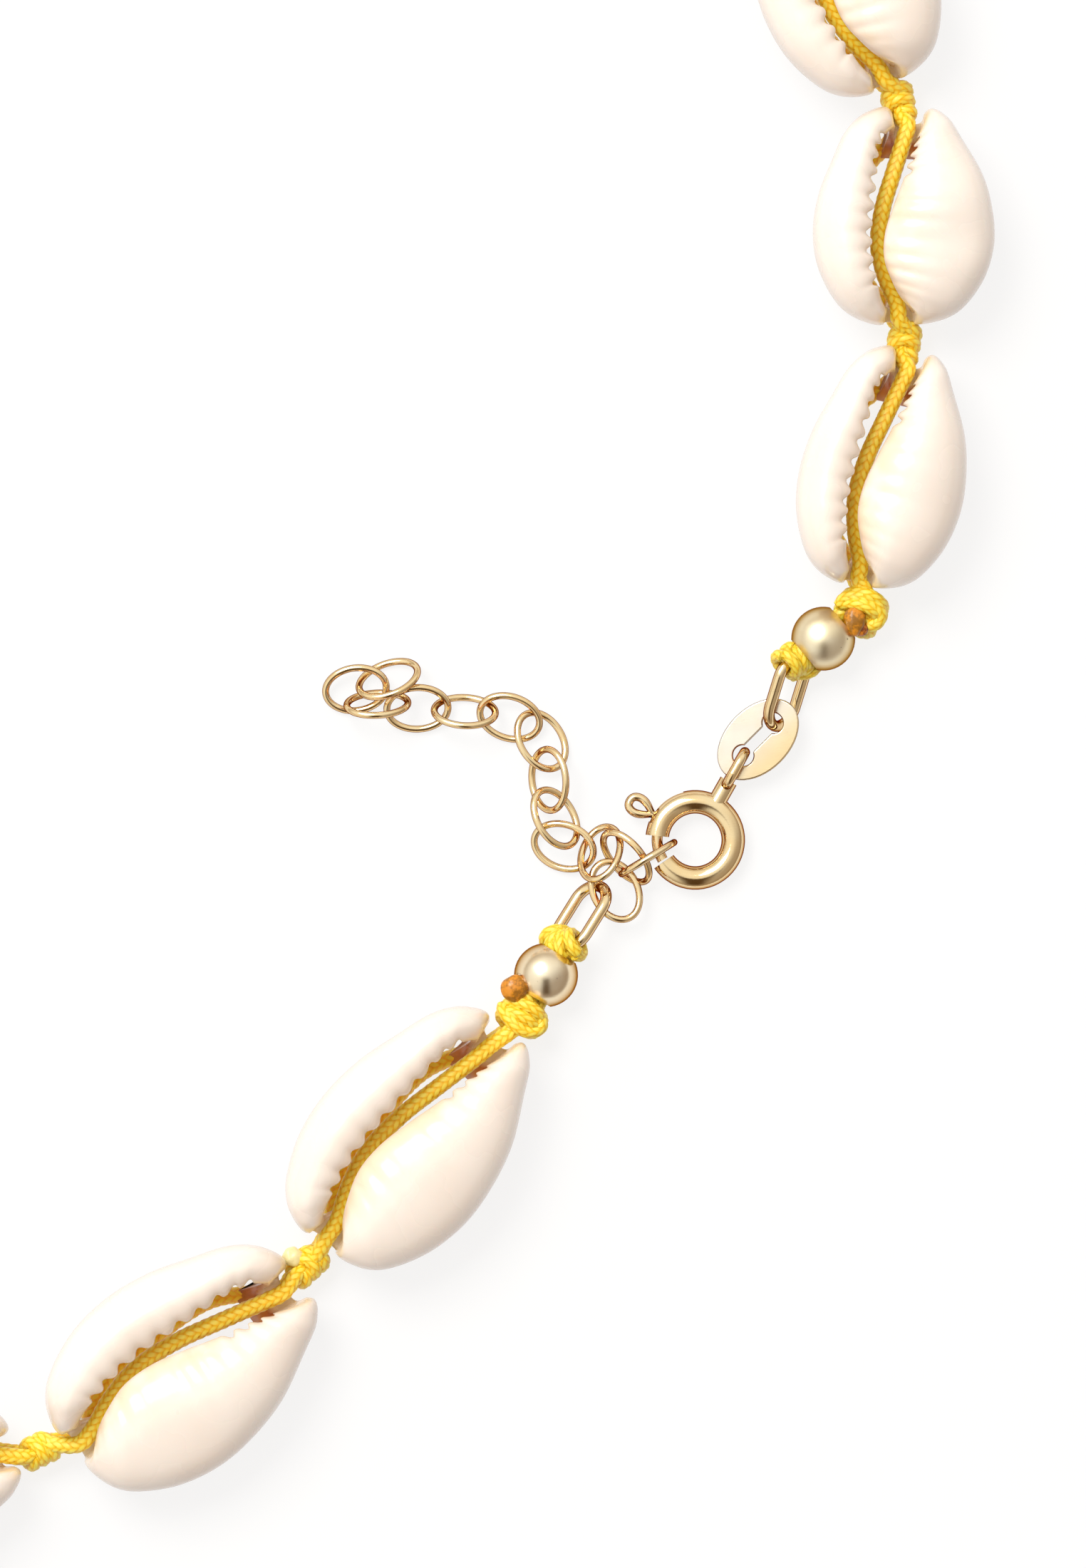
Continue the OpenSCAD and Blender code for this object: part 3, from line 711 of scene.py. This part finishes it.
def wound_path(turns, ring_r, pitch, lean, tail, phase):
    """Turns of cord round the X axis that lean forward at the top and end inside."""
    t = np.linspace(-tail, turns + tail, int(28 * (turns + 2 * tail)))
    angle = 2 * np.pi * t + math.radians(phase)
    reach = ring_r * np.minimum(smoothstep(-tail, 0, t) * 0.7 + 0.3,
                                smoothstep(-tail, 0, turns - t) * 0.7 + 0.3)
    x = (np.clip(t, 0, turns) - turns / 2) * pitch + lean * np.sin(angle) * reach / ring_r
    return np.stack([x, reach * np.cos(angle), reach * np.sin(angle)], axis=1)


def shell_points(index):
    """A shell's mesh in its own frame, with its tints and the painted shade low on its outer wall.
    """
    x0, y0, heading, length, width, _ = SHELLS[index]
    rng = np.random.default_rng(100 + index)
    stops = np.array(COLUMN_STOPS, float)
    column_count = int(stops[-1, 0]) * COLUMN_STEPS
    u = np.interp(np.arange(column_count) / COLUMN_STEPS, stops[:, 0], stops[:, 1])
    v = np.concatenate([np.linspace(a, b, n, endpoint=False) for a, b, n in ROW_STEPS]
                       + [[ROW_STEPS[-1][1]]])
    station = round_tips(spline(STATIONS, u, closed=True), u)
    part = spline(SECTION, v, closed=False)[:, :, None]
    v = v[:, None]
    edge, rim = station[:, 0:2], station[:, 2:4]
    size = np.array([length / 2, width])
    edge, rim = edge * size, rim * size
    run = np.linalg.norm(rim - edge, axis=1)

    left = scallop(u, *LEFT_TEETH)
    right = scallop(u, *RIGHT_TEETH)
    wrinkle = scallop(u, *RIGHT_WRINKLES) * uneven(u, rng, 0.15)
    left_ridge = left * uneven(u, rng, 0.5)
    near_edge = np.exp(-((v - EDGE_ROW) / 0.75) ** 2)
    bite = rng.uniform(0.75, 1.0) * TOOTH_DEPTH
    push = bite * (left + right) * near_edge / run

    k = part[:, 0] + part[:, 2] * station[:, 6] + part[:, 3] * station[:, 5] + push
    xy = edge[None] + k[..., None] * (rim - edge)[None]
    z = part[:, 1] * station[:, 4] * SHELL_H

    ridge_reach = smoothstep(2.5, 4.6, v) * (1 - smoothstep(5.3, 6.2, v))
    wrinkle_reach = smoothstep(2.5, 4.2, v) * (1 - smoothstep(5.0, 5.8, v))
    strength = WRINKLE_STRENGTH[index % len(WRINKLE_STRENGTH)]
    z = z - GROOVE_DEPTH * left_ridge * ridge_reach - RIGHT_GROOVE_DEPTH * right * wrinkle_reach
    z = z - strength * wrinkle * wrinkle_reach
    waves = sum(np.sin(a * xy[..., 0] + b * xy[..., 1] + p) for a, b, p in
                zip(rng.normal(0, 0.5, 5), rng.normal(0, 0.5, 5), rng.uniform(0, 6.3, 5)))
    z = z + 0.035 * waves * smoothstep(0.3, 1.5, v)

    points = np.concatenate([xy, np.broadcast_to(z, xy.shape[:2])[..., None]], axis=-1)
    past_end = u + len(STATIONS) * (u < 3)
    points, floor_front = canal_floor(points, v, past_end, FRONT_FLOOR, size)
    points, floor_rear = canal_floor(points, v, past_end, REAR_FLOOR, size)

    inside = smoothstep(5.05, 5.7, v)
    cavity = inside * np.clip(0.30 + 0.70 * floor_front - 0.15 * floor_rear, 0, 1)
    peach = (bump(16.5, 22.0, 2.0, u) * smoothstep(2.9, 4.6, v)
             + 0.6 * bump(10.0, 13.0, 1.0, u) + 0.45 * smoothstep(4.3, 5.2, v))
    # Painted shade: 1 at the foot of the outer wall, fading out a little above the rim.
    rim_painted_shade = np.broadcast_to(1 - smoothstep(0.5, 2.2, v), cavity.shape)
    tints_and_shade = {"cavity": cavity, "peach": np.clip(peach, 0, 1), "rim": rim_painted_shade}
    flat = turned(points.reshape(-1, 3), [x0, y0, LIFT], heading)
    faces = grid_faces(len(part), column_count, True, True)
    return flat, faces.tolist(), tints_and_shade


def round_tips(station, u):
    """Evens out the outline and the crest round the four tips of a shell."""
    reach = np.arange(-12, 13)
    weights = np.exp(-(reach / 5.0) ** 2)
    weights /= weights.sum()
    even = sum(w * np.roll(station, k, axis=0) for k, w in zip(reach, weights))
    near = sum(bump(low, high, 0.5, u) for low, high in TIPS)[:, None]
    rim_and_crest = np.array([0, 0, 1, 1, 1, 0, 0])
    return station + rim_and_crest * near * (even - station)


def canal_floor(points, v, u, floor, size):
    """Draws the inner rows of an end out to a sill across the slit, as a sloping floor.

    Gives the points and how far each column is drawn out.
    """
    first, last, soft, sill_x, y_left, y_right, u_left, u_right = floor
    share = bump(first, last, soft, u)
    t = np.clip((v - EDGE_ROW) / (len(SECTION) - 1 - EDGE_ROW), 0, 1)
    across = np.clip((u - u_left) / (u_right - u_left), 0, 1)
    sill = np.stack([np.full_like(u, sill_x * size[0]),
                     (y_left + across * (y_right - y_left)) * size[1], np.zeros_like(u)], axis=-1)
    row = np.argmin(np.abs(v[:, 0] - EDGE_ROW))
    edge = points[row][None]
    slope = edge * (1 - t)[..., None] + sill[None] * t[..., None]
    slope[..., 2] = edge[..., 2] * (1 - t) ** 2.2
    weight = (share[None] * (t > 0))[..., None]
    return points * (1 - weight) + slope * weight, share


def build_shells(material):
    """One piece for each shell."""
    for index in range(len(SHELLS)):
        points, faces, tints_and_shade = shell_points(index)
        number = f"{index + 1:02d}"
        mesh_piece("cowrie_" + number, points, faces, material,
                   "shell_" + number, tints_and_shade, sharp=85)


def build_strands(name, node, front, sides, triangles, material):
    """One strand of cord round the whole loop, thinner where it goes into a knot."""
    routes = [strand_points(i, front) for i in range(len(SHELLS))]
    whole = sum(lengths_to(route)[-1] for route in routes) * 1.02
    step = whole * sides * 2 / triangles
    parts, start = [], 0.0
    for route in routes:
        path = even_path(route, step)
        place = np.linspace(0, lengths_to(path)[-1], len(path))
        into_knot = np.minimum(place, place[-1] - place)
        radii = CORD_D / 2 * (0.72 + 0.28 * smoothstep(0.2, 1.1, into_knot))
        parts.append(cord_part(path, radii, sides, start))
        start += place[-1]
    points, faces, uv, attributes = joined(parts)
    mesh_piece(name, points, faces, material, node, attributes, uv)


def build_knots(material):
    """Two turns of cord for each knot, no two knots alike."""
    rng = np.random.default_rng(7)
    turn_d = KNOT_L / 2 + PRESS
    parts = []
    for knot in ALL_KNOTS[1:-1]:
        phase = 200 + rng.uniform(-35, 35)
        lean = 0.42 + rng.uniform(-0.08, 0.12)
        path = wound_path(2, (KNOT_D - turn_d) / 2 + PRESS, turn_d * 0.85, lean, 0.35, phase)
        path = even_path(turned(path, knot, knot[3]), KNOT_STEP)
        parts.append(cord_part(path, turn_d / 2 + PRESS, WOUND_SIDES, rng.uniform(0, 5)))
    nub = ALL_KNOTS[-2]
    parts.append(drop(port(nub, *NUB_AT), NUB_SIZE, 3, melt=1.0))
    points, faces, uv, attributes = joined(parts)
    mesh_piece("wound_knots", points, faces, material, "knots", attributes, uv)


def build_end_knot(name, node, knot, phase, arch, burnt, material):
    """Turns of cord, an arch of cord on top of them, and drops where it was burnt off."""
    turn_d = END_KNOT_L / 2 + PRESS
    outer_r = (END_KNOT_D - turn_d) / 2
    outer = wound_path(2, outer_r, turn_d * 0.85, 0.55, 0.3, phase)
    inner = wound_path(2, outer_r - INNER_IN, turn_d * 0.7, 0.30, 0.3, phase + 90)
    parts = []
    for way, radius, start in ((outer, turn_d / 2, 0.0), (inner, turn_d / 2, 3.3),
                               (arch, turn_d / 2 + 0.03, 1.4)):
        path = even_path(turned(way, knot, knot[3]), WOUND_STEP)
        parts.append(cord_part(path, radius, END_KNOT_SIDES, start))
    for seed, (along, left, up, size, burn) in enumerate(burnt):
        parts.append(drop(port(knot, along, left, up), size, seed, burn=burn))
    points, faces, uv, attributes = joined(parts)
    mesh_piece(name, points, faces, material, node, attributes, uv)


def posed(points, pose):
    """Points of a piece's own frame, turned by roll, pitch and yaw and set down."""
    x, y, z, yaw, pitch, roll = pose
    rx = np.array([[1, 0, 0], [0, cos(roll), -sin(roll)], [0, sin(roll), cos(roll)]])
    ry = np.array([[cos(pitch), 0, -sin(pitch)], [0, 1, 0], [sin(pitch), 0, cos(pitch)]])
    rz = np.array([[cos(yaw), -sin(yaw), 0], [sin(yaw), cos(yaw), 0], [0, 0, 1]])
    return np.asarray(points) @ (rz @ ry @ rx).T + np.array([x, y, z])


def build_cord_loop(name, node, bead, ring_pose, ring_end, material):
    """Turns of cord round a ring's end, and the doubled cord in the bead."""
    bend_r = (OBLONG_W - OBLONG_WIRE) / 2
    run = (OBLONG_L - OBLONG_W) / 2
    wrap_r = OBLONG_WIRE / 2 + GAP / 2 + WRAP_D / 2
    parts = []
    for number, fan in enumerate(WRAP_FANS):
        t = np.linspace(0, 1, 40)
        angle = 2 * np.pi * t
        wrap = [[bend_r + wrap_r * math.cos(a), WRAP_LEAN * (b - 0.5), wrap_r * math.sin(a)]
                for a, b in zip(angle, t)]
        path = turned(wrap, [run, 0, 0], fan) * [ring_end, 1, 1]
        path = even_path(posed(path, ring_pose), WOUND_STEP)
        parts.append(cord_part(path, WRAP_D / 2 + 0.06, WOUND_SIDES, number * 1.7))
    centre = [bead[0], bead[1], BEAD_Z]
    ball = turned(wound_path(2, 0.62, 0.5, 0.25, 0.3, 210) - [BALL_REACH, 0, 0], centre, bead[2])
    parts.append(cord_part(even_path(ball, WOUND_STEP), BALL_CORD_R, WOUND_SIDES, 2.2))
    for side in (-1, 1):
        core = turned([[reach, side * CORE_SIDE, 0] for reach in CORE_REACH], centre, bead[2])
        parts.append(cord_part(even_path(core, KNOT_STEP), CORE_R, WOUND_SIDES, side))
    points, faces, uv, attributes = joined(parts)
    mesh_piece(name, points, faces, material, node, attributes, uv)


def straight_oval(length, width):
    """A line with round ends and straight sides, and its outward direction."""
    half_turn = np.linspace(-90, 90, 41)
    angle = np.radians(np.concatenate([half_turn, half_turn + 180]))
    out = np.stack([np.cos(angle), np.sin(angle), 0 * angle], axis=1)
    line = out * width / 2
    line[:, 0] += (length - width) / 2 * np.where(np.arange(len(angle)) < len(half_turn), 1, -1)
    return line, out


def round_oval(length, width):
    """An ellipse and its outward direction."""
    angle = np.linspace(0, 2 * np.pi, 84, endpoint=False)
    line = np.stack([length / 2 * np.cos(angle), width / 2 * np.sin(angle), 0 * angle], axis=1)
    out = np.stack([np.cos(angle) / length, np.sin(angle) / width, 0 * angle], axis=1)
    return line, out / np.linalg.norm(out, axis=1)[:, None]


def build_wire(name, node, oval, wire, pose, material):
    """A ring of round wire in a piece's own plane, long along X, set down in its pose."""
    centre, out = oval
    around = np.linspace(0, 2 * np.pi, WIRE_SIDES, endpoint=False)
    ring = (np.cos(around)[None, :, None] * out[:, None, :]
            + np.sin(around)[None, :, None] * UP[None, None, :])
    points = (centre[:, None, :] + wire / 2 * ring).reshape(-1, 3)
    faces = grid_faces(len(centre), len(around), True, True)[:, ::-1]
    mesh_piece(name, posed(points, pose), faces.tolist(), material, node, {})


def build_wires(gold):
    """The chain's links and the two oblong rings."""
    link = round_oval(LINK_L - LINK_WIRE, LINK_W - LINK_WIRE)
    for number, pose in enumerate(LINKS, 1):
        build_wire(f"chain_{number:02d}", f"link_{number:02d}", link, LINK_WIRE, pose, gold)
    ring = straight_oval(OBLONG_L - OBLONG_WIRE, OBLONG_W - OBLONG_WIRE)
    for letter, pose in (("a", RING_A_POSE), ("b", RING_B_POSE)):
        build_wire("oval_" + letter, "oblong_ring_" + letter, ring, OBLONG_WIRE, pose, gold)


def build_gate(gold):
    """The wire that slides in the tube, and its trigger as a bent loop of wire."""
    angle = np.radians(np.linspace(GATE_START, GATE_TIP, 60))
    arc = TUBE_R * np.stack([np.cos(angle), np.sin(angle), 0 * angle], axis=1)
    side = np.array(TRIGGER)
    bent = np.concatenate([side, side[::-1] * [1, -1, 1]])
    bent = spline(bent, np.linspace(0, len(bent) - 1, 90), closed=False)
    loop = np.stack([bent[:, 0], bent[:, 1], 0 * bent[:, 0]], axis=1)
    loop = turned(loop, [0, 0, 0], TRIGGER_ANGLE)
    wire, wire_faces, _ = sweep(arc, GATE_D / 2, 24, braid=False)
    trigger, trigger_faces, _ = sweep(loop, bent[:, 2], WIRE_SIDES, braid=False)
    trigger[:, 2] *= TRIGGER_TALL
    faces = wire_faces + [[i + len(wire) for i in face] for face in trigger_faces]
    points = np.concatenate([wire, trigger]) + CLASP_AT
    mesh_piece("gate_wire", points, faces, gold, "clasp_gate", {}, sharp=60,
               body="gate")


def finish_metal(gold, tag_finish, bead_a_finish, bead_b_finish):
    """Gives each metal node that keeps its own mesh its material."""
    for name, finish, slot in (
            ("tag", tag_finish, "gold_metal"), ("clasp_body", gold, "gold_metal"),
            ("bead_a", bead_a_finish, "bead_metal"), ("bead_b", bead_b_finish, "bead_metal")):
        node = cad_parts[name]
        node.data.materials.clear()
        node.data.materials.append(finish)
    round_edges(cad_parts["tag"], TAG_EDGE_R)


def round_edges(node, width):
    """Rounds a node's sharp edges by modifiers; the width is in millimetres."""
    weld = node.modifiers.new("weld", "WELD")
    weld.merge_threshold = 0.002 * MM
    planes = node.modifiers.new("planes", "DECIMATE")
    planes.decimate_type, planes.angle_limit = "DISSOLVE", math.radians(0.5)
    bevel = node.modifiers.new("round_edges", "BEVEL")
    bevel.width, bevel.segments = width * MM, 3
    bevel.limit_method, bevel.angle_limit = "ANGLE", math.radians(50)
    bevel.use_clamp_overlap, bevel.harden_normals = False, True


def build_key_light():
    """A large soft light from the upper left, aimed at the loop's centre."""
    data = bpy.data.lights.new("key", "AREA")
    data.shape, data.size, data.size_y = "RECTANGLE", 0.42, 0.42
    data.energy, data.color = 5.6, (1, 0.97, 0.93)
    light = bpy.data.objects.new("key", data)
    bpy.context.scene.collection.objects.link(light)
    light.location = (-0.24, 0.34, 0.70)
    light.rotation_euler = (-Vector(light.location)).to_track_quat("-Z", "Y").to_euler()


def build_studio():
    """A white floor, a bright sky and a large soft light from the upper left."""
    half = 1.5
    mesh = bpy.data.meshes.new("floor")
    mesh.from_pydata([(-half, -half, 0), (half, -half, 0), (half, half, 0), (-half, half, 0)],
                     [], [(0, 1, 2, 3)])
    g = Graph(bpy.data.materials.new("floor_white"))
    g.set(Base_Color=(0.16, 0.16, 0.16, 1), Roughness=0.9, Specular_IOR_Level=0.0)
    g.set(Emission_Color=(1.0, 1.0, 1.0, 1), Emission_Strength=0.82)
    mesh.materials.append(g.owner)
    floor = bpy.data.objects.new("floor", mesh)
    bpy.context.scene.collection.objects.link(floor)
    build_sky()
    build_key_light()


def build_sky():
    """A pale warm sky with a darker, brown part in front of the necklace."""
    g = Graph(bpy.data.worlds.new("sky"), "Background")
    bpy.context.scene.world = g.owner
    x, y, z = g.parts(g.node("TexCoord", {}, output="Generated"))
    sky = g.mix(g.ramp(z, 0.05, 0.55), (0.60, 0.51, 0.42, 1), (1.0, 0.96, 0.91, 1))
    left = g.ramp(g.math("SUBTRACT", y, x), -1.0, 0.2)
    sky = g.mix(left, g.mix(0.82, sky, (0.30, 0.22, 0.16, 1)), sky)
    narrow = g.math("SUBTRACT", 1.0, g.ramp(g.math("ABSOLUTE", x), 0.08, 0.34))
    stripe = g.math("MULTIPLY", narrow, g.ramp(g.math("MULTIPLY", y, -1.0), 0.04, 0.30))
    stripe = g.math("MULTIPLY", stripe, g.ramp(z, 0.12, 0.40))
    sky = g.mix(stripe, sky, (0.09, 0.05, 0.02, 1))
    g.set(Color=sky, Strength=0.94)


def build_camera():
    """Looks straight down on the lower right part, through a long lens."""
    height_mm, distance_mm = 94.4, 600.0
    centre = (47.3, -16.7)
    data = bpy.data.cameras.new("camera")
    data.sensor_width = 36.0
    data.lens = data.sensor_width * distance_mm / height_mm
    data.clip_start, data.clip_end = 0.01, 10.0
    camera = bpy.data.objects.new("camera", data)
    bpy.context.scene.collection.objects.link(camera)
    camera.location = (centre[0] * MM, centre[1] * MM, distance_mm * MM)
    bpy.context.scene.camera = camera


build_camera()
build_studio()
build_shells(shell_material())
# Each cord's colours: painted highlight, the cord's own colour, painted shade.
cord = cord_material("cord_yellow", srgb(255, 238, 92), srgb(255, 205, 10), srgb(240, 140, 0))
# Painted shade: a darker, more orange copy of the cord's colours for the back strand, which lies in
# shade under the front strand and the lips.
shaded_cord = cord_material("cord_painted_shade", srgb(255, 228, 56), srgb(255, 194, 6), srgb(248, 142, 0))
olive = cord_material("cord_olive", srgb(252, 232, 84), srgb(244, 200, 22), srgb(204, 134, 2))
build_strands("braid_front", "front_cord", True, 32, FRONT_TRIANGLES, cord)
build_strands("braid_back", "back_cord", False, 24, BACK_TRIANGLES, shaded_cord)
build_knots(cord)
build_end_knot("wound_end_a", "end_knot_a", ALL_KNOTS[0], 200, ARCH_A, BURNT_A, cord)
build_end_knot("wound_end_b", "end_knot_b", ALL_KNOTS[-1], 20, ARCH_B, BURNT_B, cord)
build_cord_loop("loop_a", "cord_loop_a", BEAD_A, RING_A_POSE, 1, olive)
build_cord_loop("loop_b", "cord_loop_b", BEAD_B, RING_B_POSE, -1, olive)
gold_finish = metal_material("gold_polish", srgb(255, 234, 186), srgb(252, 214, 150),
                             srgb(150, 80, 20), 0.08, 0.16, 0.2)
# The tag's colour deepens towards its lower right corner as a painted reflection.
tag_finish = metal_material("tag_polish", srgb(255, 250, 236), srgb(255, 240, 212),
                            srgb(104, 56, 18), 0.16, 0.26, 0.15,
                            reflection_fade=(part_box("tag"), srgb(253, 229, 178)))
bead_polish = metal_material("bead_polish", srgb(255, 243, 214), srgb(242, 220, 180),
                             srgb(214, 176, 124), 0.18, 0.28, 0.5)
satin = metal_material("bead_satin", srgb(255, 246, 216), srgb(240, 222, 176),
                       srgb(196, 160, 96), 0.30, 0.42, 0.5)
build_wires(gold_finish)
build_gate(gold_finish)
finish_metal(gold_finish, tag_finish, satin, bead_polish)
bpy.context.scene.view_settings.view_transform = "Standard"
